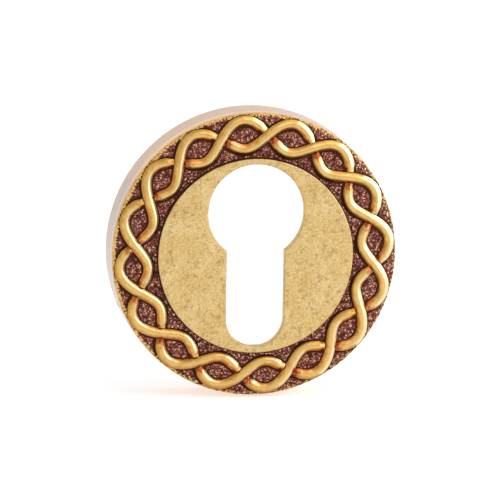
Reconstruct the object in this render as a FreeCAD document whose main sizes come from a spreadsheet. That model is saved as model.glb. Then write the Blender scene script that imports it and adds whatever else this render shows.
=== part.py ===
"""Keyhole escutcheon: a clip-fitted cylinder rose, as a parametric document.

Each piece is drawn as it is seen from the front, x to the right, y up and z out of the door towards the
viewer, with the door's face at z = 0. The pieces are then turned so that the front faces -Y and +Z is up.
"""

import FreeCAD, Part
import math
import os

import Sketcher
from FreeCAD import Placement, Rotation, Vector

SHEET = "Sizes"

# Alias, value in millimetres or degrees or a plain count, and what it is.
SIZES = (
    ("CoverRadius", 26.0, "outside radius of the cover's side wall"),
    ("DiscHeight", 10.5, "door to the face of the raised disc"),
    ("EdgeDrop", 1.9, "drop from the disc's face to the top of the rim"),
    ("DiscRadius", 17.84, "radius of the raised disc"),
    ("DiscStep", 0.85, "drop from the disc's face to the flat part of the stippled band"),
    ("DiscEdgeBevel", 0.25, "bevel of the disc's edge"),
    ("RimBevel", 0.3, "bevel of the rim round the band"),
    ("BandFallShare", 0.52, "way across the band, from the disc, to where it starts to fall"),
    ("WallThickness", 1.6, "thickness of the side wall"),
    ("PlateThickness", 1.8, "thickness of the casting behind the disc"),
    ("HollowDrop", 1.5, "step down of the hollow's roof behind the band"),
    ("HollowInset", 1.0, "place of that step, inside the disc's edge"),
    ("GrooveHeight", 2.3, "door to the middle of the snap groove"),
    ("GrooveWidth", 1.8, "mouth of the snap groove"),
    ("GrooveDepth", 0.6, "depth of the snap groove"),
    ("ReleaseWidth", 1.4, "diameter of the release hole"),
    ("ReleaseAngle", -157.0, "place of the release hole, anticlockwise from the right"),
    ("CylinderRadius", 8.8, "radius of the round part of the cylinder opening"),
    ("CylinderSlot", 10.6, "width of the opening's lower part"),
    ("CylinderLength", 33.5, "height of the whole opening"),
    ("CylinderRise", 8.0, "rose's centre to the centre of the round part"),
    ("OpeningBevel", 0.25, "bevel of the opening's front edge"),
    ("BraidShare", 0.528, "way across the band to the braid's middle line"),
    ("SwingShare", 0.316, "swing of a strand to each side of that line, as a share of the band"),
    ("BraidWaves", 8, "waves of a strand round the rose"),
    ("BraidAngle", 6.3, "place of the first strand's outermost point"),
    ("StrandShare", 0.235, "width of a strand at its foot, as a share of the band"),
    ("StrandTopShare", 0.147, "width of its flattened top, as a share of the band"),
    ("StrandRise", 0.57, "mean height of a strand above the band"),
    ("StrandLift", 0.24, "rise over, and dip under, the other strand"),
    ("StrandFoot", 0.34, "depth of its foot below the band"),
    ("StrandRoot", 0.8, "depth that it is sunk in the casting"),
    ("BaseClearance", 0.2, "gap between the base and the cover's wall"),
    ("RoofClearance", 1.2, "gap between the base and the lower part of the hollow's roof"),
    ("WebThickness", 2.4, "thickness of the base's web"),
    ("SkirtThickness", 1.5, "thickness of the base's sprung skirt"),
    ("SkirtGap", 0.3, "door to the free edge of the skirt"),
    ("LugSpan", 16.0, "angle that a snap lug takes up"),
    ("FingerSpan", 32.0, "angle between the slits beside a lug"),
    ("FingerCount", 4, "snap fingers round the base"),
    ("SlitWidth", 1.2, "width of the slits between the fingers"),
    ("OpeningMargin", 2.6, "growth of the base's opening over the cover's"),
    ("CollarThickness", 1.5, "wall round the base's opening"),
    ("ScrewInset", 10.0, "cover's outside to a fixing hole"),
    ("ScrewHole", 4.2, "diameter of a fixing hole"),
    ("ScrewHead", 8.0, "diameter of the recess for a screw's head"),
    ("ScrewHeadDepth", 2.2, "depth of that recess"),
    ("BossWidth", 9.4, "diameter of the boss round a fixing hole"),
    ("RibThickness", 1.2, "thickness of the ribs under the web"),
    ("RibGap", 1.0, "gap between a rib's end and the skirt"),
    ("RibCount", 6, "ribs round the base"),
)

# What follows from the sizes: the band's width, the rim's height, the base's height and a fixing hole's reach.
BAND_WIDTH = "(CoverRadius - DiscRadius)"
RIM = "DiscHeight - EdgeDrop"
BASE_TOP = "DiscHeight - PlateThickness - HollowDrop - RoofClearance"
SCREW_REACH = "CoverRadius - ScrewInset"

# Radius and height of the corners of the stippled band's section, from the disc's foot to the rim.
BAND = (
    ("DiscRadius", "DiscHeight - DiscStep"),
    (f"DiscRadius + {BAND_WIDTH} * BandFallShare", "DiscHeight - DiscStep"),
    ("CoverRadius - RimBevel", RIM),
)

# Corners of a strand's section: way out from its middle line, and mean height above the band.
STRAND = (
    (f"{BAND_WIDTH} * StrandShare / -2", "-(StrandRoot)"),
    (f"{BAND_WIDTH} * StrandShare / 2", "-(StrandRoot)"),
    (f"{BAND_WIDTH} * StrandShare / 2", "-(StrandFoot)"),
    (f"{BAND_WIDTH} * StrandTopShare / 2", "StrandRise"),
    (f"{BAND_WIDTH} * StrandTopShare / -2", "StrandRise"),
    (f"{BAND_WIDTH} * StrandShare / -2", "-(StrandFoot)"),
)

FULL_TURN = 360.0
QUARTER_TURN = 90.0
CHORDS_PER_WAVE = 16  # straight lengths that each wave of a strand is made of

# A sketch's own numbers for its origin and axes, and for the ends and centre of a line or arc.
ORIGIN, X_AXIS, Y_AXIS = -1, -1, -2
START, END, CENTRE = 1, 2, 3


def fill_sheet(doc):
    """Writes every driving size, with its alias, into the document's sheet."""
    sheet = doc.addObject("Spreadsheet::Sheet", SHEET)
    for row, (alias, value, note) in enumerate(SIZES, start=1):
        sheet.set(f"A{row}", note)
        sheet.set(f"B{row}", str(value))
        sheet.setAlias(f"B{row}", alias)
    doc.recompute()
    return sheet


def bound(expression):
    """The expression with each bare alias turned into a reference to the sheet."""
    names = {alias for alias, _, _ in SIZES}
    words = expression.replace("(", "( ").replace(")", " )").split()
    return " ".join(f"{SHEET}.{word}" if word in names else word for word in words)


def worth(doc, expression):
    """What an expression comes to with the sheet's present values."""
    return float(doc.getObject(SHEET).evalExpression(bound(expression)))


def origin_plane(body, role):
    """One of the body's own planes or axes."""
    return next(item for item in body.Origin.OriginFeatures if item.Role == role)


def new_sketch(body, name, role):
    """An empty sketch flat on one of the body's own planes."""
    sketch = body.newObject("Sketcher::SketchObject", name)
    sketch.AttachmentSupport = [(origin_plane(body, role), "")]
    sketch.MapMode = "FlatFace"
    return sketch


def measure(sketch, kind, *place_and_expression):
    """Adds a dimension whose value follows the sheet."""
    *place, expression = place_and_expression
    index = sketch.addConstraint(Sketcher.Constraint(kind, *place, worth(sketch.Document, expression)))
    sketch.setExpression(f"Constraints[{index}]", bound(expression))


def pin_point(sketch, geometry, end, x, y):
    """Holds a point of a sketch at x and y from the sketch's origin."""
    for kind, axis, place in (("DistanceX", Y_AXIS, x), ("DistanceY", X_AXIS, y)):
        if place == "0":
            sketch.addConstraint(Sketcher.Constraint("PointOnObject", geometry, end, axis))
        else:
            measure(sketch, kind, ORIGIN, START, geometry, end, place)


def draw_section(sketch, corners):
    """A closed outline of straight lines. Each corner is its x and y."""
    points = [Vector(worth(sketch.Document, x), worth(sketch.Document, y), 0) for x, y in corners]
    for index, (corner, following) in enumerate(zip(corners, corners[1:] + corners[:1])):
        line = sketch.addGeometry(Part.LineSegment(points[index], points[(index + 1) % len(points)]), False)
        pin_point(sketch, line, START, *corner)
        pin_point(sketch, line, END, *following)


def draw_keyhole(sketch, growth):
    """The profile cylinder's outline: a round part with a straight slot below that ends in a half circle."""
    doc = sketch.Document
    radius = worth(doc, f"CylinderRadius + {growth}")
    half = worth(doc, f"CylinderSlot / 2 + {growth}")
    rise = worth(doc, "CylinderRise")
    foot_place = "CylinderRise + CylinderRadius - CylinderLength + CylinderSlot / 2"
    foot = worth(doc, foot_place)
    neck = math.asin(half / radius)
    joint = rise - radius * math.cos(neck)
    down = -math.pi / 2
    round_part = Part.Circle(Vector(0, rise, 0), Vector(0, 0, 1), radius)
    foot_part = Part.Circle(Vector(0, foot, 0), Vector(0, 0, 1), half)
    top, left, bottom, right = (
        sketch.addGeometry(item, False)
        for item in (
            Part.ArcOfCircle(round_part, down + neck, down - neck + 2 * math.pi),
            Part.LineSegment(Vector(-half, joint, 0), Vector(-half, foot, 0)),
            Part.ArcOfCircle(foot_part, math.pi, 2 * math.pi),
            Part.LineSegment(Vector(half, foot, 0), Vector(half, joint, 0)),
        )
    )
    for constraint in (
        ("Coincident", top, END, left, START),
        ("Coincident", right, END, top, START),
        ("Tangent", left, END, bottom, START),
        ("Tangent", bottom, END, right, START),
        ("Vertical", left),
    ):
        sketch.addConstraint(Sketcher.Constraint(*constraint))
    measure(sketch, "Radius", top, f"CylinderRadius + {growth}")
    measure(sketch, "Radius", bottom, f"CylinderSlot / 2 + {growth}")
    pin_point(sketch, top, CENTRE, "0", "CylinderRise")
    pin_point(sketch, bottom, CENTRE, "0", foot_place)


def revolve(body, name, sketch):
    """Turns a sketch about the rose's own axis."""
    feature = body.newObject("PartDesign::Revolution", name)
    feature.Profile = sketch
    feature.ReferenceAxis = (sketch, ["V_Axis"])
    feature.Angle = FULL_TURN
    return feature


def cut_through(body, name, sketch):
    """Cuts a sketch right through the body, both ways from its plane."""
    feature = body.newObject("PartDesign::Pocket", name)
    feature.Profile = sketch
    feature.Midplane = True
    feature.Type = "ThroughAll"
    return feature


def cut_to_depth(body, name, sketch, depth, ahead=False):
    """Cuts a sketch by a depth that follows the sheet, behind its plane or ahead of it."""
    feature = body.newObject("PartDesign::Pocket", name)
    feature.Profile = sketch
    feature.Reversed = ahead
    feature.setExpression("Length", bound(depth))
    return feature


def pad(body, name, sketch, height):
    """Raises a sketch off the door by a height that follows the sheet."""
    feature = body.newObject("PartDesign::Pad", name)
    feature.Profile = sketch
    feature.setExpression("Length", bound(height))
    return feature


def ring_pattern(body, name, features, count):
    """Repeats features evenly about the rose's own axis."""
    pattern = body.newObject("PartDesign::PolarPattern", name)
    pattern.Originals = features
    pattern.Axis = (origin_plane(body, "Z_Axis"), [""])
    pattern.Angle = FULL_TURN
    pattern.setExpression("Occurrences", bound(count))
    body.Tip = pattern
    return pattern


def upright_plane(body, name, turn, role="XZ_Plane"):
    """A sketch on a plane square to the door, turned about the rose's own axis by an angle from the sheet."""
    sketch = new_sketch(body, name, role)
    sketch.AttachmentOffset = Placement(Vector(), Rotation(Vector(0, 1, 0), worth(body.Document, turn)))
    sketch.setExpression("AttachmentOffset.Rotation.Angle", bound(turn))
    return sketch


def cover_blank(doc):
    """The cover without its braid: a turned cup with the cylinder opening and the release hole."""
    body = doc.addObject("PartDesign::Body", "CoverBlank")
    turned = new_sketch(body, "CoverSection", "XZ_Plane")
    inner = "CoverRadius - WallThickness"
    groove = f"{inner} + GrooveDepth"
    roof = "DiscHeight - PlateThickness"
    draw_section(
        turned,
        [
            (inner, "0"),
            ("CoverRadius", "0"),
            ("CoverRadius", f"{RIM} - RimBevel"),
            *reversed(BAND),
            ("DiscRadius", "DiscHeight - DiscEdgeBevel"),
            ("DiscRadius - DiscEdgeBevel", "DiscHeight"),
            ("0", "DiscHeight"),
            ("0", roof),
            ("DiscRadius - HollowInset", roof),
            ("DiscRadius - HollowInset", f"{roof} - HollowDrop"),
            (inner, f"{roof} - HollowDrop"),
            (inner, "GrooveHeight + GrooveWidth / 2"),
            (groove, "GrooveHeight"),
            (inner, "GrooveHeight - GrooveWidth / 2"),
        ],
    )
    revolve(body, "TurnedCup", turned)

    opening = new_sketch(body, "CylinderOutline", "XY_Plane")
    draw_keyhole(opening, "0")
    cut_through(body, "CylinderOpening", opening)

    release = upright_plane(body, "ReleaseOutline", "ReleaseAngle", "YZ_Plane")
    hole = release.addGeometry(Part.Circle(Vector(0, 0, 0), Vector(0, 0, 1), 1), False)
    pin_point(release, hole, CENTRE, "0", "GrooveHeight")
    measure(release, "Radius", hole, "ReleaseWidth / 2")
    cut_to_depth(body, "ReleaseHole", release, "CoverRadius + WallThickness", True)
    doc.recompute()

    cut = body.Tip
    bevel = body.newObject("PartDesign::Chamfer", "OpeningEdge")
    bevel.Base = (cut, opening_edges(doc, cut.Shape))
    bevel.setExpression("Size", bound("OpeningBevel"))
    return body


def opening_edges(doc, shape):
    """Names of the edges where the cylinder opening meets the disc's face."""
    face, reach = worth(doc, "DiscHeight"), worth(doc, "DiscRadius - DiscEdgeBevel")
    near = 1e-4
    names = []
    for number, edge in enumerate(shape.Edges, start=1):
        box = edge.BoundBox
        flat = abs(box.ZMin - face) < near and abs(box.ZMax - face) < near
        if flat and max(abs(box.XMin), abs(box.XMax)) < reach - near:
            names.append(f"Edge{number}")
    return names


def band_height(band, radius):
    """Height of the stippled band at a distance from the rose's axis."""
    for (near, low), (far, high) in zip(band, band[1:]):
        if radius <= far or far == band[-1][0]:
            return low + (high - low) * (radius - near) / (far - near)


def strand_sections(doc, side):
    """The corners of a strand's section at every station along its wave (side is 1 or -1)."""
    band = [(worth(doc, radius), worth(doc, height)) for radius, height in BAND]
    waves, start = worth(doc, "BraidWaves"), math.radians(worth(doc, "BraidAngle"))
    middle = worth(doc, f"DiscRadius + {BAND_WIDTH} * BraidShare")
    swing, lift = worth(doc, f"{BAND_WIDTH} * SwingShare"), worth(doc, "StrandLift")
    section = [(worth(doc, across), worth(doc, up)) for across, up in STRAND]
    stations = []
    for step in range(round(waves) * CHORDS_PER_WAVE):
        phase = 2 * math.pi * step / CHORDS_PER_WAVE
        angle = start + phase / waves
        ray, along = Vector(math.cos(angle), math.sin(angle), 0), Vector(-math.sin(angle), math.cos(angle), 0)
        radius = middle + side * swing * math.cos(phase)
        heading = along * radius - ray * side * swing * waves * math.sin(phase)
        out = heading.cross(Vector(0, 0, 1)).normalize()
        height = band_height(band, radius) + side * lift * math.sin(phase)
        stations.append([ray * radius + out * across + Vector(0, 0, height + up) for across, up in section])
    return stations


def braid_strand(doc, name, side):
    """One closed strand of the braid, skinned with a ruled facet from each station to the next."""
    stations = strand_sections(doc, side)
    facets = []
    for section, following in zip(stations, stations[1:] + stations[:1]):
        for corner, beside in zip(range(len(section)), [*range(1, len(section)), 0]):
            edges = (Part.makeLine(section[index], following[index]) for index in (corner, beside))
            facets.append(Part.makeRuledSurface(*edges))
    skin = Part.makeShell(facets)
    skin.sewShape()
    solid = Part.makeSolid(skin)
    if solid.Volume < 0:
        solid.reverse()
    strand = doc.addObject("Part::Feature", name)
    strand.Shape = solid
    return strand


def rose_cover(doc):
    """The finished casting: the cover with both strands of its braid fused on."""
    blank = cover_blank(doc)
    strands = [braid_strand(doc, "FirstStrand", 1), braid_strand(doc, "SecondStrand", -1)]
    cover = doc.addObject("Part::MultiFuse", "RoseCover")
    cover.Shapes = [blank, *strands]
    cover.Label = "rose_cover"
    return cover


def mounting_base(doc):
    """The hidden fixing plate: a web on a collar, bosses and ribs, with a sprung skirt for the lugs."""
    body = doc.addObject("PartDesign::Body", "MountingBase")
    body.Label = "mounting_base"
    outer = "CoverRadius - WallThickness - BaseClearance"
    inner = f"{outer} - SkirtThickness"
    under = f"{BASE_TOP} - WebThickness"

    turned = new_sketch(body, "BaseSection", "XZ_Plane")
    draw_section(
        turned,
        [
            ("0", under),
            (inner, under),
            (inner, "SkirtGap"),
            (outer, "SkirtGap"),
            (outer, BASE_TOP),
            ("0", BASE_TOP),
        ],
    )
    revolve(body, "WebAndSkirt", turned)

    to_web = f"{BASE_TOP} - WebThickness / 2"
    collar = new_sketch(body, "CollarOutline", "XY_Plane")
    draw_keyhole(collar, "OpeningMargin + CollarThickness")
    pad(body, "Collar", collar, to_web)
    bosses = new_sketch(body, "BossOutline", "XY_Plane")
    draw_screw_circles(bosses, "BossWidth / 2")
    pad(body, "ScrewBosses", bosses, to_web)
    rib = new_sketch(body, "RibOutline", "XY_Plane")
    draw_bar(rib, "0", f"{inner} - RibGap", "RibThickness / 2")
    pad(body, "Rib", rib, to_web)
    ring_pattern(body, "Ribs", [body.Tip], "RibCount")

    opening = new_sketch(body, "BaseCylinderOutline", "XY_Plane")
    draw_keyhole(opening, "OpeningMargin")
    cut_through(body, "BaseCylinderOpening", opening)
    holes = new_sketch(body, "ScrewHoleOutline", "XY_Plane")
    draw_screw_circles(holes, "ScrewHole / 2")
    cut_through(body, "ScrewHoles", holes)
    recesses = new_sketch(body, "ScrewHeadOutline", "XY_Plane")
    recesses.setExpression("AttachmentOffset.Base.z", bound(BASE_TOP))
    draw_screw_circles(recesses, "ScrewHead / 2")
    cut_to_depth(body, "ScrewHeadRecesses", recesses, "ScrewHeadDepth")

    lug = upright_plane(body, "LugSection", "ReleaseAngle")
    low = "GrooveHeight - GrooveWidth / 2 + BaseClearance"
    high = "GrooveHeight + GrooveWidth / 2 - BaseClearance"
    root, tip = f"{outer} - SkirtThickness / 2", f"{outer} + GrooveDepth"
    draw_section(
        lug,
        [
            (root, low),
            (outer, low),
            (tip, "GrooveHeight"),
            (outer, high),
            (root, high),
        ],
    )
    snap = revolve(body, "SnapLug", lug)
    snap.Midplane = True
    snap.setExpression("Angle", bound("LugSpan"))
    ring_pattern(body, "SnapLugs", [snap], "FingerCount")

    slits = []
    for number, turn in enumerate(("ReleaseAngle - FingerSpan / 2", "ReleaseAngle + FingerSpan / 2"), start=1):
        slit = new_sketch(body, f"SlitOutline{number}", "XY_Plane")
        slit.AttachmentOffset = Placement(Vector(), Rotation(Vector(0, 0, 1), worth(doc, turn)))
        slit.setExpression("AttachmentOffset.Rotation.Angle", bound(turn))
        draw_bar(slit, f"{inner} - SlitWidth / 2", f"{outer} + GrooveDepth", "SlitWidth / 2")
        slits.append(cut_to_depth(body, f"Slit{number}", slit, under, True))
    ring_pattern(body, "Slits", slits, "FingerCount")
    return body


def draw_bar(sketch, near, far, side):
    """A bar along the sketch's x axis, as wide to each side of it."""
    draw_section(sketch, [(near, f"-({side})"), (far, f"-({side})"), (far, side), (near, side)])


def draw_screw_circles(sketch, radius):
    """A circle at each fixing hole, left and right of the rose's centre."""
    for place in (f"-({SCREW_REACH})", SCREW_REACH):
        middle = Vector(worth(sketch.Document, place), 0, 0)
        circle = sketch.addGeometry(Part.Circle(middle, Vector(0, 0, 1), worth(sketch.Document, radius)), False)
        pin_point(sketch, circle, CENTRE, place, "0")
        measure(sketch, "Radius", circle, radius)


def main():
    doc = FreeCAD.newDocument("KeyholeEscutcheon")
    fill_sheet(doc)
    pieces = [rose_cover(doc), mounting_base(doc)]
    doc.recompute()
    facing = Placement(Vector(), Rotation(Vector(1, 0, 0), QUARTER_TURN))
    for piece in pieces:
        piece.Placement = facing
    doc.recompute()
    for item in doc.Objects:
        if {"Invalid", "Error"} & set(item.State):
            raise RuntimeError(f"{item.Label} failed: {item.State}")
    for piece in pieces:
        if piece.Shape.isNull() or not piece.Shape.isValid():
            raise RuntimeError(f"{piece.Label} has no sound shape")
        print(piece.Label, len(piece.Shape.Solids), round(piece.Shape.Volume, 1), piece.Shape.BoundBox)
    os.makedirs("parts", exist_ok=True)
    for piece in pieces:
        piece.Shape.exportStep(f"parts/{piece.Label}.step")


main()
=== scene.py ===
"""Keyhole escutcheon: the looks of a cast, gold plated and darkened cylinder rose, round its solid model.

The frame's x is to the right, z up and -y out of the door towards the viewer. Sizes are in metres.
Most shapes are worked out in the rose's own terms: a radius from its axis, an angle anticlockwise
from the right as seen from the front, and a height out of the door.
"""

import math

import bmesh
import bpy
import numpy as np
from bpy.props import FloatProperty, FloatVectorProperty, IntProperty, PointerProperty
from mathutils import Matrix, Vector, noise


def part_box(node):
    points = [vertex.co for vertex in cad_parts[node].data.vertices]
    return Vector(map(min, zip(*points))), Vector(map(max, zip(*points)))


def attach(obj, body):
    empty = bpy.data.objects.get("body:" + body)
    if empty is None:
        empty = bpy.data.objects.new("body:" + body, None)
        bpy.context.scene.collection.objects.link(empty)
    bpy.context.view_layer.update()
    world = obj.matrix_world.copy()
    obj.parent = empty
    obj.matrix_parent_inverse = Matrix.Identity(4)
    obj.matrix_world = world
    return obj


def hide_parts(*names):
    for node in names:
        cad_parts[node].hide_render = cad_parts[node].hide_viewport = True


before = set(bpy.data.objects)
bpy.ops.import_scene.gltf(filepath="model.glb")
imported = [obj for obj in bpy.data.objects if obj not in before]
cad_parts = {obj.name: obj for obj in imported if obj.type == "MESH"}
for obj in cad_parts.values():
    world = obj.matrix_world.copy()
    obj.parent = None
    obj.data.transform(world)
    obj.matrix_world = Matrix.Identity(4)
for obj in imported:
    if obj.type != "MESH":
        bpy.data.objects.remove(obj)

bl_info = {
    "name": "Keyhole escutcheon",
    "version": (1, 0, 0),
    "blender": (4, 5, 0),
    "location": "3D View > Sidebar > Escutcheon",
    "description": "Makes a braided cylinder rose, its finishes and a studio round it",
    "category": "Add Mesh",
}

MM = 0.001
COVER_LOW, COVER_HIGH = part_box("rose_cover")
COVER_RADIUS = COVER_HIGH.x
DISC_HEIGHT = -COVER_LOW.y
COLUMNS = 1000  # points round the casting
BAND_RINGS = 66  # rings of the stippled band, close enough for its punch marks
STATIONS = 1280  # places along a strand
TOP_POINTS = 17  # points across the top of a strand
QUARTER_TURN = np.radians([0, 22.5, 45, 67.5, 90])
EVEN = (0.3, 0.7)  # a spread of noise that gives soft marks over half of the surface
DISC, BAND, RIM, WALL, BACK = range(5)  # the casting's finishes


def linear(code):
    """The linear red, green and blue of an sRGB hex colour."""
    parts = (int(code[place : place + 2], 16) / 255 for place in (1, 3, 5))
    return [part / 12.92 if part <= 0.04045 else ((part + 0.055) / 1.055) ** 2.4 for part in parts]


def size(name, description, default):
    """A length that a user can change."""
    return FloatProperty(
        name=name, description=description, default=default, min=0, unit="LENGTH", precision=5
    )


def colour(name, description, code):
    """A colour that a user can change."""
    return FloatVectorProperty(
        name=name, description=description, default=(*linear(code), 1), min=0, max=1, size=4, subtype="COLOR"
    )


class RoseSizes(bpy.types.PropertyGroup):
    """Sizes of the casting."""

    disc_radius: size("Disc radius", "Radius of the raised disc", 17.84 * MM)
    disc_edge: size("Disc edge", "Radius of the rounding of the disc's edge", 0.24 * MM)
    rim_radius: size("Rim radius", "Where the stippled band ends and the rim's rounding starts", 25.72 * MM)
    rim_height: size("Rim height", "Door to the top of the rim", 8.6 * MM)
    wall: size("Wall", "Thickness of the side wall", 1.6 * MM)
    plate: size("Plate", "Thickness of the casting behind the disc", 1.8 * MM)
    hollow_drop: size("Hollow drop", "Step down of the hollow's roof behind the band", 1.5 * MM)
    hollow_inset: size("Hollow inset", "Place of that step, inside the disc's edge", 1.0 * MM)
    groove_height: size("Groove height", "Door to the middle of the clip groove", 2.3 * MM)
    groove_width: size("Groove width", "Mouth of the clip groove", 1.8 * MM)
    groove_depth: size("Groove depth", "Depth of the clip groove", 0.6 * MM)
    cylinder_radius: size("Cylinder radius", "Radius of the opening's round part", 8.8 * MM)
    cylinder_slot: size("Cylinder slot", "Width of the opening's lower part", 10.6 * MM)
    cylinder_length: size("Cylinder length", "Height of the whole opening", 33.5 * MM)
    cylinder_rise: size("Cylinder rise", "Centre of the rose to the centre of the round part", 8.0 * MM)
    release_radius: size("Release radius", "Radius of the release hole in the side wall", 0.7 * MM)
    release_angle: FloatProperty(
        name="Release angle", description="Place of the release hole", default=math.radians(-157),
        subtype="ANGLE",
    )
    stipple_pitch: size("Stipple pitch", "Distance from one punch mark of the ground to the next", 0.46 * MM)
    stipple_depth: size("Stipple depth", "Depth of the punch marks", 0.17 * MM)


class BraidSizes(bpy.types.PropertyGroup):
    """Sizes of the braid in relief."""

    middle: size("Middle", "Radius of the braid's middle line", 22.15 * MM)
    swing: size("Swing", "Swing of a strand to each side of that line", 2.58 * MM)
    waves: IntProperty(name="Waves", description="Waves of a strand round the rose", default=8, min=3)
    start: FloatProperty(
        name="Start", description="Place of the first strand's outermost point", default=math.radians(5.8),
        subtype="ANGLE",
    )
    strand_width: size("Strand width", "Width of a strand at the ground", 2.06 * MM)
    strand_rise: size("Strand rise", "Height of a strand's ridge above the ground", 0.66 * MM)
    crossing_rise: size("Crossing rise", "Extra height where a strand passes over", 0.06 * MM)
    crossing_dip: size("Crossing dip", "How far a strand sinks where it passes under", 0.42 * MM)
    root: size("Root", "How far a strand's underside is sunk in the ground", 0.5 * MM)


class RoseColours(bpy.types.PropertyGroup):
    """Colours of the finishes."""

    disc_light: colour("Disc light", "Blasted gold, light grain", "#E2CA96")
    disc_mid: colour("Disc middle", "Blasted gold", "#CFB072")
    disc_dark: colour("Disc dark", "Blasted gold, dark grain", "#A9834B")
    strand_gold: colour("Strand gold", "Polished gold along the strands' ridges", "#D9B26C")
    # Strand pale is a painted highlight: the flanks that face the right-hand soft box are coloured paler.
    strand_painted_highlight: colour("Strand pale", "Thin, brightly polished gold of the right-hand flanks", "#EBD2A2")
    # On the strands, strand ochre is painted shade that darkens the flanks towards their edges.
    strand_ochre: colour("Strand ochre", "Thinly toned gold of the strands' flanks", "#BC8A40")
    # Strand copper also gives painted shade on the lower right side of each crossing.
    strand_copper: colour("Strand copper", "Orange-brown toning beside the eyes", "#BC7234")
    # Strand red: red patina where a strand tucks under, and painted shade on the lower right side of each
    # crossing.
    strand_red: colour("Strand red", "Red toning where a strand tucks under", "#8A2E1C")
    # Crevice: dark lacquer in the punch pits, and painted shade at the feet of the strands and the disc and
    # where a strand goes under.
    crevice_lacquer_and_shade: colour("Crevice", "Dark lacquer left in the crevices", "#42200F")
    ground_dark: colour("Ground dark", "Dark lacquer of the ground", "#66251B")
    ground_red: colour("Ground red", "Red lacquer of the ground", "#8C3430")
    ground_rose: colour("Ground rose", "Half rubbed tips of the ground", "#A8685C")
    # Ground glint: rubbed tips, coloured pale as painted glints.
    ground_glint: colour("Ground glint", "Rubbed tips of the ground", "#DDBC9A")
    wall_gold: colour("Wall gold", "Polished gold of the side wall", "#E2B98E")
    # Wall dull is painted shade: the left side of the wall, away from the lamps, is drawn darker.
    wall_painted_shade: colour("Wall dull", "Handled, duller plating of the side wall", "#B8A391")
    raw_brass: colour("Raw brass", "Casting as it left the mould, inside", "#9C8250")
    nylon: colour("Nylon", "Moulded base", "#D8D5C9")
    nylon_shade: colour("Nylon shade", "Moulded base, cloudy places", "#D1CEC2")


def node(tree, kind, values=None, **settings):
    """Adds a shader node. Values are its inputs, each a number, a colour or a socket to link it to."""
    made = tree.nodes.new("ShaderNode" + kind)
    for name, value in settings.items():
        setattr(made, name, value)
    for name, value in (values or {}).items():
        if isinstance(value, bpy.types.NodeSocket):
            tree.links.new(made.inputs[name], value)
        else:
            made.inputs[name].default_value = value
    return made


def new_material(name):
    """A material with no nodes yet but the object's own coordinates, in metres."""
    material = bpy.data.materials.new(name)
    material.use_nodes = True
    tree = material.node_tree
    tree.nodes.clear()
    return material, tree, node(tree, "TexCoord").outputs["Object"]


def mottle(tree, place, millimetres, low, high, detail=2.0):
    """Marks about so many millimetres across: noise spread so that low becomes 0 and high becomes 1."""
    marks = node(tree, "TexNoise", {"Vector": place, "Scale": 1 / (millimetres * MM), "Detail": detail})
    spread = {0: marks.outputs[0], 1: low, 2: high}
    return node(tree, "MapRange", spread, interpolation_type="SMOOTHSTEP").outputs[0]


def patchy(tree, place, name, low, high, millimetres, raggedness):
    """A number kept with the mesh, made ragged by noise and then spread from low to high."""
    kept = node(tree, "Attribute", attribute_name=name).outputs["Fac"]
    marks = mottle(tree, place, millimetres, *EVEN)
    ragged = node(tree, "Math", {0: marks, 1: 2 * raggedness, 2: kept}, operation="MULTIPLY_ADD")
    centred = node(tree, "Math", {0: ragged.outputs[0], 1: raggedness}, operation="SUBTRACT")
    spread = {0: centred.outputs[0], 1: low, 2: high}
    return node(tree, "MapRange", spread, interpolation_type="SMOOTHSTEP").outputs[0]


def coats(tree, tone, *layers):
    """Lays coats of colour over one another, each by its share."""
    for share, over in layers:
        tone = node(tree, "Mix", {0: share, 6: tone, 7: over}, data_type="RGBA").outputs[2]
    return tone


def surface(tree, values, grain=None, strength=0.0):
    """The surface and the output, with a bump of a twentieth of a millimetre if there is a grain."""
    if grain is not None:
        bump = node(tree, "Bump", {"Height": grain, "Strength": strength, "Distance": 0.05 * MM})
        values = {**values, "Normal": bump.outputs[0]}
    shaded = node(tree, "BsdfPrincipled", values)
    node(tree, "OutputMaterial", {"Surface": shaded.outputs[0]})


def blasted_gold_plate(colours):
    """Gold plated brass, bead blasted: a soft sandy sheen with a fine mottle and no clear reflections.

    Real bead marks are near 0.05 mm and can't be seen at this distance, so the sandy mottle is drawn
    at 0.36 to 0.9 mm, over clouds of 3.5 mm.
    """
    material, tree, place = new_material("gold_plated_brass_bead_blasted")
    tone = coats(
        tree,
        colours.disc_mid,
        (mottle(tree, place, 3.5, 0.35, 0.9, 3.0), colours.disc_light),
        (mottle(tree, place, 0.9, 0.45, 0.85, 3.0), colours.disc_dark),
        (mottle(tree, place, 0.42, 0.47, 0.75), colours.disc_light),
        (mottle(tree, place, 0.36, 0.5, 0.8, 3.0), colours.disc_dark),
        # The opening's edge rounding is drawn darker.
        (patchy(tree, place, "crevice_lacquer_and_shade", 0.2, 1.1, 0.5, 0.1), colours.disc_dark),
    )
    values = {"Base Color": tone, "Metallic": 1.0, "Roughness": 0.42}
    surface(tree, values, mottle(tree, place, 0.2, *EVEN), 0.2)
    return material


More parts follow.
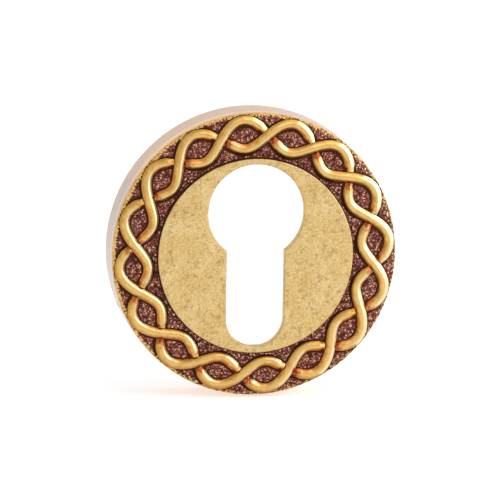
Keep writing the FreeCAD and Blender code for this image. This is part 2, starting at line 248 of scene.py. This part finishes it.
def stippled_lacquer(colours):
    """Brass punched all over, darkened with maroon lacquer and rubbed.

    That gives dark pits, pale worm-like glints on the tips and bare gold towards the rim. The glints are
    rubbed tips coloured paler than gold, as painted glints, and the rim's gold is brighter at the upper left
    as painted light.
    """
    material, tree, place = new_material("brass_stippled_lacquered_rubbed_with_painted_light")
    # cover: the dark line at the feet of the strands and the disc, lacquer with a painted shadow on their
    # shaded sides.
    cover = patchy(tree, place, "crevice_lacquer_and_shade", 0.35, 0.75, 0.3, 0.15)
    tips = patchy(tree, place, "relief", 0.58, 0.85, 0.3, 0.2)
    slopes = patchy(tree, place, "relief", -0.12, 0.46, 0.3, 0.2)
    # Worm-like lines of noise add more painted glints on the slopes of the punch marks.
    marks = node(tree, "TexNoise", {"Vector": place, "Scale": 1 / (0.36 * MM), "Detail": 1.0})
    ridge = node(tree, "Math", {0: marks.outputs[0], 1: 0.5, 2: 0.02}, operation="COMPARE")
    worms = node(tree, "Math", {0: ridge.outputs[0], 1: slopes}, operation="MULTIPLY")
    rubbed = node(tree, "Math", {0: tips, 1: worms.outputs[0]}, operation="MAXIMUM")
    bare = node(tree, "Math", {0: 1.0, 1: cover}, operation="SUBTRACT")
    rubbed = node(tree, "Math", {0: rubbed.outputs[0], 1: bare.outputs[0]}, operation="MULTIPLY").outputs[0]
    # worn: rubbed gold towards the rim, stronger at the upper left as painted light.
    worn = patchy(tree, place, "worn", 0.5, 0.62, 0.45, 0.32)
    lacquer = coats(tree, colours.ground_dark, (mottle(tree, place, 1.2, 0.4, 0.6), colours.ground_red))
    pits = coats(tree, colours.crevice_lacquer_and_shade, (slopes, lacquer), (cover, colours.crevice_lacquer_and_shade))
    # Painted glints: the rubbed tips are coloured paler than the gold.
    glints = coats(tree, colours.ground_rose, (mottle(tree, place, 0.5, 0.4, 0.6), colours.ground_glint))
    edge = coats(tree, colours.strand_ochre, (mottle(tree, place, 0.5, 0.3, 0.5), colours.strand_gold))
    tone = coats(tree, pits, (rubbed, glints), (worn, edge))
    metal = node(tree, "Math", {0: rubbed, 1: worn}, operation="MAXIMUM").outputs[0]
    rough = node(tree, "MapRange", {0: metal, 3: 0.5, 4: 0.32}).outputs[0]
    surface(tree, {"Base Color": tone, "Metallic": metal, "Roughness": rough, "Specular IOR Level": 0.12})
    return material


def polished_wall(colours):
    """Gold plated brass, turned and polished: a soft mirror of the pale studio, with painted shade at the
    left.
    """
    material, tree, place = new_material("gold_plated_brass_polished_with_painted_shade")
    # Painted shade: the wall darkens towards the left, the side away from the lamps.
    shaded_side = math.radians(192)
    toward_shade = (math.cos(shaded_side) / COVER_RADIUS, 0.0, math.sin(shaded_side) / COVER_RADIUS)
    side = node(tree, "VectorMath", {0: place, 1: toward_shade}, operation="DOT_PRODUCT").outputs["Value"]
    cloud = mottle(tree, place, 5.0, *EVEN)
    side = node(tree, "Math", {0: cloud, 1: 0.15, 2: side}, operation="MULTIPLY_ADD").outputs[0]
    dull = node(tree, "MapRange", {0: side, 1: 0.6, 2: 1.05}, interpolation_type="SMOOTHSTEP").outputs[0]
    tone = coats(tree, colours.wall_gold, (dull, colours.wall_painted_shade))
    surface(tree, {"Base Color": tone, "Metallic": 1.0, "Roughness": 0.25})
    return material


def rubbed_rim(colours):
    """The rim's rounding: lacquer rubbed through to bright gold plate, made brighter towards the upper left
    as painted light.
    """
    material, tree, place = new_material("gold_plated_brass_rubbed_rim_with_painted_light")
    worn = patchy(tree, place, "worn", 0.4, 0.55, 0.5, 0.3)
    edge = coats(tree, colours.strand_ochre, (mottle(tree, place, 0.9, 0.3, 0.5), colours.strand_gold))
    tone = coats(tree, colours.ground_dark, (worn, edge))
    surface(tree, {"Base Color": tone, "Metallic": worn, "Roughness": 0.3})
    return material


def raw_casting(colours):
    """Brass as cast: the dull, slightly grainy back of the casting."""
    material, tree, place = new_material("brass_as_cast")
    tone = coats(tree, colours.raw_brass, (mottle(tree, place, 1.5, *EVEN, 3.0), colours.strand_ochre))
    values = {"Base Color": tone, "Metallic": 1.0, "Roughness": 0.55}
    surface(tree, values, mottle(tree, place, 0.25, *EVEN), 0.5)
    return material


def rubbed_braid(colours):
    """Gold plated brass, toned and polished by hand: bright ridges, orange and red where strands meet, a
    painted highlight on the right-facing flanks and painted shade on the flanks and beside the crossings.
    """
    material, tree, place = new_material("gold_plated_brass_toned_with_painted_light")
    tone = coats(
        tree,
        colours.strand_ochre,
        # Painted shade: the strands are darker ochre towards their edges and lighter gold along the ridge.
        (patchy(tree, place, "ridge", 0.2, 0.85, 1.2, 0.2), colours.strand_gold),
        # Painted highlight: the flanks that face right get the pale colour.
        (patchy(tree, place, "polished", 0.25, 0.85, 0.8, 0.2), colours.strand_painted_highlight),
        (patchy(tree, place, "orange", 0.25, 1.0, 0.7, 0.25), colours.strand_copper),
        (patchy(tree, place, "red", 0.3, 1.05, 0.5, 0.25), colours.strand_red),
        # Painted shade: dark along the strands' edges and where a strand goes under the other.
        (patchy(tree, place, "crevice_lacquer_and_shade", 0.35, 0.75, 0.4, 0.15), colours.crevice_lacquer_and_shade),
    )
    values = {"Base Color": tone, "Metallic": 1.0, "Roughness": 0.29}
    surface(tree, values, mottle(tree, place, 0.3, *EVEN), 0.08)
    return material


def moulded_nylon(colours):
    """Nylon, injection moulded: a plain pale plastic with a fine matt skin."""
    material, tree, place = new_material("nylon_injection_moulded")
    tone = coats(tree, colours.nylon, (mottle(tree, place, 2.0, *EVEN), colours.nylon_shade))
    values = {"Base Color": tone, "Roughness": 0.5, "IOR": 1.53}
    surface(tree, values, mottle(tree, place, 0.12, *EVEN), 0.25)
    return material


def polar(radius, angle, height):
    """Points in the frame from the rose's own terms."""
    radius, angle, height = np.broadcast_arrays(radius, angle, height)
    return np.stack([radius * np.cos(angle), -height, radius * np.sin(angle)], -1)


def turned_to(direction, place):
    """The matrix that turns an object's z to a direction and sets it in its place."""
    return Matrix.Translation(place) @ direction.to_track_quat("Z", "Y").to_matrix().to_4x4()


def smooth(value, low, high):
    """0 below low, 1 above high, and an even curve between them."""
    share = np.clip((value - low) / (high - low), 0, 1)
    return share * share * (3 - 2 * share)


def fading(phase, low, high):
    """1 up to a phase of low degrees, 0 past high, and an even curve between them."""
    return 1 - smooth(phase, math.radians(low), math.radians(high))


def ring_mesh(name, points, materials, faces_material=None, **numbers):
    """A closed mesh over a grid of points that runs round both ways, with numbers kept at each point."""
    rows, columns = points.shape[:2]
    index = np.arange(rows * columns).reshape(rows, columns)
    right, below = np.roll(index, -1, 1), np.roll(index, -1, 0)
    faces = np.stack([index, right, np.roll(right, -1, 0), below], -1).reshape(-1, 4)
    mesh = bpy.data.meshes.new(name)
    mesh.vertices.add(rows * columns)
    mesh.vertices.foreach_set("co", points.astype(np.float32).ravel())
    mesh.loops.add(faces.size)
    mesh.loops.foreach_set("vertex_index", faces.astype(np.int32).ravel())
    mesh.polygons.add(len(faces))
    mesh.polygons.foreach_set("loop_start", np.arange(0, faces.size, 4, dtype=np.int32))
    mesh.update(calc_edges=True)
    for material in materials:
        mesh.materials.append(material)
    if faces_material is not None:
        mesh.polygons.foreach_set("material_index", np.repeat(faces_material, columns).astype(np.int32))
    for title, values in numbers.items():
        kept = mesh.attributes.new(title, "FLOAT", "POINT")
        kept.data.foreach_set("value", np.broadcast_to(values, (rows, columns)).astype(np.float32).ravel())
    mesh.shade_smooth()
    mesh.validate()
    piece = bpy.data.objects.new(name, mesh)
    bpy.context.scene.collection.objects.link(piece)
    return piece


def opening_radius(sizes, angle, growth=0.0):
    """Radius of the cylinder opening's outline, in every direction from the rose's centre."""
    across, up = np.cos(angle), np.sin(angle)
    rise, radius = sizes.cylinder_rise, sizes.cylinder_radius + growth
    round_part = rise * up + np.sqrt(radius**2 - (rise * across) ** 2)
    half = sizes.cylinder_slot / 2 + growth
    foot = sizes.cylinder_rise + sizes.cylinder_radius - sizes.cylinder_length + sizes.cylinder_slot / 2
    side = half / np.maximum(np.abs(across), 1e-9)
    cap = foot * up + np.sqrt(np.maximum(half**2 - (foot * across) ** 2, 0))
    slot = np.where(side * up > foot, side, cap)
    slot = np.where(side * up > rise, 0, slot)
    return np.maximum(round_part, slot)


def ground_height(sizes, radius):
    """Height of the stippled ground before it is punched, from the disc's foot to the rim."""
    places = [sizes.disc_radius, 19.2 * MM, 20.6 * MM, 22.1 * MM, 23.4 * MM, 24.6 * MM, sizes.rim_radius]
    drops = np.array([0.92, 0.82, 0.80, 0.88, 1.15, 1.50, 1.90]) * MM
    return DISC_HEIGHT - np.interp(radius, places, drops)


def strand_radius(braid, phase, side):
    """Radius of a strand's middle line; side is 1 for the first strand and -1 for the second."""
    return braid.middle + side * braid.swing * np.cos(phase)


def punch_marks(sizes, radius, angle):
    """The punched ground at each point, from 0 in a pit to 1 on a tip."""
    across, up = (radius * way(angle) / sizes.stipple_pitch for way in (np.cos, np.sin))
    marks = np.empty(radius.shape)
    for row, column in np.ndindex(radius.shape):
        near, beside = noise.voronoi(Vector((across[row, column], up[row, column], 0.0)))[0][:2]
        tip = 1.25 - 1.5 * near
        border = min(1.0, (beside - near) / 0.22)
        marks[row, column] = tip * (0.35 + 0.65 * border)
    return np.clip(marks, 0, 1)


def rim_nicks(sizes, angle):
    """How far the rim is worn inwards at each angle, from 0 to 1."""
    nick = 0.5 * MM
    places = [COVER_RADIUS / nick * way(angle) for way in (np.cos, np.sin)]
    coarse, fine = (
        np.array([noise.noise(Vector((finer * across, finer * up, 9.0))) for across, up in zip(*places)])
        for finer in (1.0, 2.3)
    )
    return np.clip(0.35 + 0.9 * coarse + 0.5 * fine, 0, 1)


def back_profile(sizes):
    """Radius and height of each ring of the back, from the side wall's foot inwards to the opening."""
    inner = COVER_RADIUS - sizes.wall
    step = sizes.disc_radius - sizes.hollow_inset
    bore_rear = DISC_HEIGHT - sizes.plate
    low_roof = bore_rear - sizes.hollow_drop
    groove_low, groove_high = (sizes.groove_height + sizes.groove_width * way / 2 for way in (-1, 1))
    foot_bevel, roof_bevel = 0.12 * MM, 0.4 * MM
    return (
        (COVER_RADIUS - foot_bevel, 0),
        (inner + foot_bevel, 0),
        (inner, foot_bevel),
        (inner, groove_low),
        (inner + sizes.groove_depth, sizes.groove_height),
        (inner, groove_high),
        (inner, low_roof - roof_bevel),
        (inner - roof_bevel, low_roof),
        (step + 0.1 * MM, low_roof),
        (step, bore_rear - 0.2 * MM),
        (step - 0.02 * MM, bore_rear),
    )


def casting_rings(sizes, angle):
    """The casting's rings, from the opening's rear over the front and the wall to the back.

    Gives each ring's radius and height at every angle, its finish, and which rings are the stippled band.
    """
    rings, kinds = [], []

    def ring(radius, height, kind):
        rings.append((np.broadcast_to(radius, angle.shape), np.broadcast_to(height, angle.shape)))
        kinds.append(kind)

    edge, bore = sizes.disc_edge, opening_radius(sizes, angle)
    ring(bore, DISC_HEIGHT - sizes.plate, DISC)
    ring(bore, DISC_HEIGHT - edge, DISC)
    for turn in QUARTER_TURN[1:]:
        growth = edge * (1 - math.cos(turn))
        ring(opening_radius(sizes, angle, growth), DISC_HEIGHT - edge * (1 - math.sin(turn)), DISC)
    start, end = opening_radius(sizes, angle, edge), sizes.disc_radius - edge
    for share in (0.03, 0.33, 0.66):
        ring(start + (end - start) * share, DISC_HEIGHT, DISC)
    for turn in QUARTER_TURN:
        ring(end + edge * math.sin(turn), DISC_HEIGHT - edge * (1 - math.cos(turn)), DISC)
    kinds[-1] = BAND
    ring(sizes.disc_radius, DISC_HEIGHT - 0.6 * MM, BAND)
    band_start = len(rings)
    for radius in np.linspace(sizes.disc_radius + 0.02 * MM, sizes.rim_radius, BAND_RINGS):
        ring(radius, ground_height(sizes, radius), BAND)
    stippled = slice(band_start, len(rings))
    bevel = COVER_RADIUS - sizes.rim_radius
    nicks = rim_nicks(sizes, angle)
    kinds[-1] = RIM
    for turn, depth in zip(np.radians([30, 60, 90]), (0.16 * MM, 0.16 * MM, 0.08 * MM)):
        ring(
            COVER_RADIUS - bevel * (1 - math.sin(turn)) - depth * nicks,
            sizes.rim_height - bevel * (1 - math.cos(turn)) - 0.5 * depth * nicks,
            RIM,
        )
    kinds[-1] = WALL
    for height in (8.0 * MM, 7.8 * MM, 0.12 * MM):
        ring(COVER_RADIUS, height, WALL)
    for radius, height in back_profile(sizes):
        ring(radius, height, BACK)
    return rings, kinds, stippled


def crevice_distance(sizes, braid, radius, angle):
    """Distance from each point of the ground to the nearest strand or the disc, less on the shaded sides, so
    that the dark line there becomes a painted shadow.
    """
    phase = braid.waves * (angle - braid.start)
    near = np.full(radius.shape, 1.0)
    for side in (1, -1):
        middle = strand_radius(braid, phase, side)
        slope = side * braid.swing * braid.waves * np.sin(phase) / middle
        outwards = np.sign(radius - middle) / np.sqrt(1 + slope**2)
        to_right = outwards * (np.cos(angle) - slope * np.sin(angle))
        to_top = outwards * (np.sin(angle) + slope * np.cos(angle))
        # Painted shadow: the dark line is made wider on the sides that face left and down, and narrower on
        # the others.
        shaded = np.clip(-0.9 * to_right - 0.4 * to_top, -0.4, 1) * 0.13 * MM
        beside = np.abs(radius - middle) / np.sqrt(1 + slope**2)
        near = np.minimum(near, beside - braid.strand_width / 2 - shaded)
    return np.minimum(near, radius - sizes.disc_radius)


def make_casting(sizes, braid, colours):
    """The whole casting but for its strands, as one closed skin."""
    turn = np.linspace(0, 2 * math.pi, COLUMNS, endpoint=False)
    rings, kinds, stippled = casting_rings(sizes, turn)
    radius, height = (np.stack(part) for part in zip(*rings))
    angle = np.broadcast_to(turn, radius.shape).copy()
    relief, crevice_lacquer_and_shade, worn = np.zeros(radius.shape), np.zeros(radius.shape), np.zeros(radius.shape)

    ground_radius, ground_angle = radius[stippled], angle[stippled]
    marks = punch_marks(sizes, ground_radius, ground_angle)
    fade = smooth(ground_radius, sizes.disc_radius, sizes.disc_radius + 0.3 * MM)
    height[stippled] -= sizes.stipple_depth * (1 - marks) * fade
    relief[stippled] = marks * fade

    near = crevice_distance(sizes, braid, ground_radius, ground_angle)
    # Dark lacquer at the feet of the strands and the disc, partly painted shade, wider on their shaded sides.
    crevice_lacquer_and_shade[stippled] = 1 - smooth(near, 0.04 * MM, 0.34 * MM)
    # The opening's edge rounding is drawn a little darker.
    opening_rings = slice(1, 6)
    crevice_lacquer_and_shade[opening_rings] = 0.3

    # Wear towards the rim, made stronger towards the upper left and weaker towards the lower right as painted
    # light.
    rubbed = 0.64 + 0.24 * np.cos(ground_angle - math.radians(150))
    worn[stippled] = rubbed * smooth(ground_radius, sizes.rim_radius - 0.8 * MM, sizes.rim_radius)
    rim_rings = slice(stippled.stop, stippled.stop + 4)
    worn[rim_rings] = rubbed[-1]

    finishes = [
        blasted_gold_plate(colours),
        stippled_lacquer(colours),
        rubbed_rim(colours),
        polished_wall(colours),
        raw_casting(colours),
    ]
    points = polar(radius, angle, height)
    numbers = {"relief": relief, "crevice_lacquer_and_shade": crevice_lacquer_and_shade, "worn": worn}
    piece = ring_mesh("rose_casting", points, finishes, kinds, **numbers)
    piece.data.set_sharp_from_angle(angle=math.radians(50))
    return piece


def drill_release_hole(piece, sizes):
    """Cuts the small hole through the side wall that a tool reaches the clip through."""
    reach = sizes.wall + 1.2 * MM
    middle = polar(COVER_RADIUS - sizes.wall / 2, sizes.release_angle, sizes.groove_height)
    out = polar(1.0, sizes.release_angle, 0.0)
    ends = sizes.release_radius
    cutter_mesh = bpy.data.meshes.new("release_drill")
    work = bmesh.new()
    bmesh.ops.create_cone(work, cap_ends=True, segments=32, radius1=ends, radius2=ends, depth=reach)
    work.to_mesh(cutter_mesh)
    work.free()
    cutter_mesh.materials.append(piece.data.materials[-1])
    drill = bpy.data.objects.new("release_drill", cutter_mesh)
    bpy.context.scene.collection.objects.link(drill)
    drill.matrix_world = turned_to(Vector(out), Vector(middle))
    before = len(piece.data.vertices)
    cut = piece.modifiers.new("release_hole", "BOOLEAN")
    cut.operation = "DIFFERENCE"
    cut.solver = "EXACT"
    cut.object = drill
    bpy.context.view_layer.update()
    with bpy.context.temp_override(object=piece, active_object=piece, selected_objects=[piece]):
        bpy.ops.object.modifier_apply(modifier=cut.name)
    bpy.data.objects.remove(drill)
    if len(piece.data.vertices) == before:
        raise RuntimeError("the release hole was not cut")


def strand_wear(across, outer, past, sideways, onwards):
    """The numbers that colour a strand, at each point across it and each place along it.

    across runs from -1 inside to 1 outside and outer is above 0 where the strand swings outwards. past is
    its phase since it passed under the other one. sideways and onwards say how far those directions lead
    to the right and to the top.
    """
    away, beside = np.abs(past), np.abs(across)
    eye = np.clip(-1.6 * across * np.sign(outer), 0, 1) * smooth(np.abs(outer), 0.02, 0.3)
    # Painted highlight: the flanks that face right, towards the right-hand soft box, are coloured pale, and
    # the orange and red are held back there.
    facing = np.sign(across) * (0.98 * sideways[0] + 0.1 * sideways[1])
    polished = smooth(facing, 0.15, 0.75) * smooth(beside, 0.05, 0.4)
    # Painted shade: body falls off towards the strand's edges, so the flanks are darker than the ridge.
    body = np.clip(1.1 - 1.25 * beside**1.4, 0, 1)
    # Painted shade: at each crossing, the lower strand's end that lies to the lower right is toned red and
    # orange.
    shaded_tuck = np.clip(0.68 + 0.42 * np.sign(past) * (0.64 * onwards[0] - 0.77 * onwards[1]), 0, 1)
    along_eye = 1.05 - 0.45 * smooth(away, math.radians(24), math.radians(85))
    orange = eye * (1 - 0.8 * polished) * along_eye
    red = np.maximum((0.1 + 0.9 * eye) * (1 - 0.5 * polished), 0.85 * shaded_tuck)
    return {
        "ridge": np.clip(0.8 * body + 0.45 * polished, 0, 1),
        "polished": polished,
        "orange": np.maximum(orange, 0.85 * shaded_tuck * fading(away, 24, 56)),
        "red": fading(away, 20, 40) * red,
        # crevice: painted shade along the strand's edges and where it goes under the other strand.
        "crevice_lacquer_and_shade": np.maximum(fading(away, 14, 17.5), beside**10),
    }


def make_strand(sizes, braid, side, finish):
    """One closed strand: a rounded bar with a soft ridge that weaves over and under the other one."""
    phase = np.linspace(0, 2 * math.pi * braid.waves, STATIONS, endpoint=False)
    angle = braid.start + phase / braid.waves
    middle = strand_radius(braid, phase, side)
    slope = -side * braid.swing * braid.waves * np.sin(phase)
    length = np.hypot(middle, slope)
    past = (phase + side * math.pi / 2 + math.pi) % (2 * math.pi) - math.pi
    away = np.abs(past)
    over, under = fading(np.pi - away, 20, 70), fading(away, 12, 34)
    ridge = braid.strand_rise + braid.crossing_rise * over - braid.crossing_dip * under

    across = np.concatenate([np.linspace(-1, 1, TOP_POINTS), [0.92, 0.0, -0.92]])
    soft = (np.sqrt(across**2 + 0.05) - math.sqrt(0.05)) / (math.sqrt(1.05) - math.sqrt(0.05))
    is_top = np.arange(len(across)) < TOP_POINTS
    shape = np.where(is_top, 1 - soft**1.25, 0)[:, None]
    across, is_top = across[:, None], is_top[:, None]
    pinch = 1 - 0.28 * fading(away, 15, 38)
    offset = across * pinch * braid.strand_width / 2
    to_right = middle * np.cos(angle) + slope * np.sin(angle)
    to_top = middle * np.sin(angle) - slope * np.cos(angle)
    x = middle * np.cos(angle) + offset * to_right / length
    z = middle * np.sin(angle) + offset * to_top / length
    radius, turned = np.hypot(x, z), np.arctan2(z, x)
    ground = ground_height(sizes, middle)[None, :]
    sunk = 0.06 * MM
    underside = ground_height(sizes, radius) - braid.root
    height = np.where(is_top, ground + shape * (ridge + sunk) - sunk, underside)
    height = np.minimum(height, DISC_HEIGHT - 0.01 * MM)

    outer = side * np.cos(phase)[None, :]
    sideways = to_right / length, to_top / length
    onwards_right = (slope * np.cos(angle) - middle * np.sin(angle)) / length
    onwards_top = (slope * np.sin(angle) + middle * np.cos(angle)) / length
    numbers = strand_wear(across, outer, past, sideways, (onwards_right, onwards_top))
    name = "braid_strand_first" if side > 0 else "braid_strand_second"
    return ring_mesh(name, polar(radius, turned, height), [finish], None, **numbers)


class ESCUTCHEON_OT_casting(bpy.types.Operator):
    """Makes the casting: disc, stippled band, rim, side wall and hollow back"""

    bl_idname = "escutcheon.casting"
    bl_label = "Casting"

    def execute(self, context):
        scene = context.scene
        piece = make_casting(scene.rose_sizes, scene.braid_sizes, scene.rose_colours)
        drill_release_hole(piece, scene.rose_sizes)
        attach(piece, "root")
        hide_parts("rose_cover")
        return {"FINISHED"}


class ESCUTCHEON_OT_braid(bpy.types.Operator):
    """Makes the two strands of the braid"""

    bl_idname = "escutcheon.braid"
    bl_label = "Braid"

    def execute(self, context):
        scene = context.scene
        finish = rubbed_braid(scene.rose_colours)
        for side in (1, -1):
            piece = make_strand(scene.rose_sizes, scene.braid_sizes, side, finish)
            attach(piece, "root")
            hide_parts("rose_cover")
        return {"FINISHED"}


class ESCUTCHEON_OT_base(bpy.types.Operator):
    """Gives the hidden mounting base its moulded finish"""

    bl_idname = "escutcheon.base"
    bl_label = "Mounting base"

    def execute(self, context):
        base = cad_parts["mounting_base"]
        base.data.materials.clear()
        base.data.materials.append(moulded_nylon(context.scene.rose_colours))
        return {"FINISHED"}


def seen_directly(tree):
    """1 for what the camera sees, straight on or mirrored, and 0 for light that falls on matt things."""
    rays = node(tree, "LightPath").outputs
    seen = node(tree, "Math", {0: rays["Is Camera Ray"], 1: rays["Is Glossy Ray"]}, operation="MAXIMUM")
    seen = node(tree, "Math", {0: seen.outputs[0], 1: rays["Is Transmission Ray"]}, operation="MAXIMUM")
    return seen.outputs[0]


def make_world():
    """An even pale backdrop that also gives a soft fill light."""
    world = bpy.data.worlds.new("pale_backdrop")
    bpy.context.scene.world = world
    world.use_nodes = True
    tree = world.node_tree
    tree.nodes.clear()
    strength = node(tree, "MapRange", {0: seen_directly(tree), 3: 0.6, 4: 1.0}).outputs[0]
    back = node(tree, "Background", {"Color": (1, 1, 1, 1), "Strength": strength})
    node(tree, "OutputWorld", {"Surface": back.outputs[0]})


def make_floor():
    """A wide pale floor under the rose, white to the camera except where the rose shades it."""
    mesh = bpy.data.meshes.new("studio_floor")
    reach, level = 3.0, -COVER_RADIUS - 0.2 * MM
    corners = [(-reach, -reach, level), (reach, -reach, level), (reach, reach, level), (-reach, reach, level)]
    mesh.from_pydata(corners, [], [(0, 1, 2, 3)])
    floor = bpy.data.objects.new("studio_floor", mesh)
    bpy.context.scene.collection.objects.link(floor)
    material, tree, _ = new_material("matt_white_paper")
    paper = node(tree, "BsdfDiffuse", {"Color": (0.9, 0.9, 0.9, 1)})
    glow = node(tree, "Emission", {"Color": (1, 1, 1, 1), "Strength": 0.46})
    both = node(tree, "AddShader", {0: paper.outputs[0], 1: glow.outputs[0]})
    mixed = node(tree, "MixShader", {0: seen_directly(tree), 1: paper.outputs[0], 2: both.outputs[0]})
    node(tree, "OutputMaterial", {"Surface": mixed.outputs[0]})
    mesh.materials.append(material)


def make_lamp(name, direction, distance, width, height, power):
    """A soft box that faces the rose from a direction."""
    light = bpy.data.lights.new(name, "AREA")
    light.shape, light.size, light.size_y, light.energy = "RECTANGLE", width, height, power
    lamp = bpy.data.objects.new(name, light)
    away = Vector(direction).normalized()
    lamp.matrix_world = turned_to(away, away * distance)
    bpy.context.scene.collection.objects.link(lamp)


def make_camera():
    """The photograph's viewpoint: from the front, a little from the left and from above."""
    turn, lift, roll = (math.radians(part) for part in (9.3, 10.6, 0.99))
    back = Vector((-math.sin(turn) * math.cos(lift), -math.cos(turn) * math.cos(lift), math.sin(lift)))
    level = (-back).cross(Vector((0, 0, 1))).normalized()
    upright = level.cross(-back)
    right = math.cos(roll) * level + math.sin(roll) * upright
    up = math.cos(roll) * upright - math.sin(roll) * level
    distance, pixels_per_metre, frame_pixels = 1.2, 5482.0, 500
    data = bpy.data.cameras.new("camera")
    data.sensor_width = 36.0
    data.lens = pixels_per_metre * distance * data.sensor_width / frame_pixels
    data.clip_start, data.clip_end = 0.05, 20
    camera = bpy.data.objects.new("camera", data)
    aim_right, aim_down = 0.58 * MM, 0.80 * MM
    target = aim_right * right - aim_down * up
    axes = Matrix((right, up, back)).transposed().to_4x4()
    camera.matrix_world = Matrix.Translation(target + distance * back) @ axes
    bpy.context.scene.collection.objects.link(camera)
    bpy.context.scene.camera = camera


class ESCUTCHEON_OT_stage(bpy.types.Operator):
    """Makes the pale studio: floor, backdrop, soft boxes and camera"""

    bl_idname = "escutcheon.stage"
    bl_label = "Studio"

    def execute(self, context):
        make_world()
        make_floor()
        make_lamp("soft_box_right", (0.97, -0.24, 0.08), distance=0.5, width=0.5, height=0.8, power=2.35)
        make_lamp("soft_box_top", (0.3, -0.35, 0.89), distance=0.5, width=0.4, height=0.22, power=0.35)
        make_camera()
        context.scene.view_settings.view_transform = "Standard"
        return {"FINISHED"}


OPERATORS = (ESCUTCHEON_OT_stage, ESCUTCHEON_OT_casting, ESCUTCHEON_OT_braid, ESCUTCHEON_OT_base)


class ESCUTCHEON_PT_panel(bpy.types.Panel):
    """Lists the steps and sizes"""

    bl_label = "Escutcheon"
    bl_space_type = "VIEW_3D"
    bl_region_type = "UI"
    bl_category = "Escutcheon"

    def draw(self, context):
        for operator in OPERATORS:
            self.layout.operator(operator.bl_idname)
        for group in (context.scene.rose_sizes, context.scene.braid_sizes, context.scene.rose_colours):
            for name in group.bl_rna.properties.keys():
                if name not in ("rna_type", "name"):
                    self.layout.prop(group, name)


CLASSES = (RoseSizes, BraidSizes, RoseColours, *OPERATORS, ESCUTCHEON_PT_panel)


def register():
    """Adds the classes and their settings to Blender."""
    for item in CLASSES:
        bpy.utils.register_class(item)
    bpy.types.Scene.rose_sizes = PointerProperty(type=RoseSizes)
    bpy.types.Scene.braid_sizes = PointerProperty(type=BraidSizes)
    bpy.types.Scene.rose_colours = PointerProperty(type=RoseColours)


def unregister():
    """Takes the settings and the classes away again."""
    for name in ("rose_colours", "braid_sizes", "rose_sizes"):
        delattr(bpy.types.Scene, name)
    for item in reversed(CLASSES):
        bpy.utils.unregister_class(item)


def main():
    """Makes everything in order."""
    register()
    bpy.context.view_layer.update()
    bpy.ops.escutcheon.stage()
    bpy.ops.escutcheon.casting()
    bpy.ops.escutcheon.braid()
    bpy.ops.escutcheon.base()


if __name__ == "__main__":
    main()
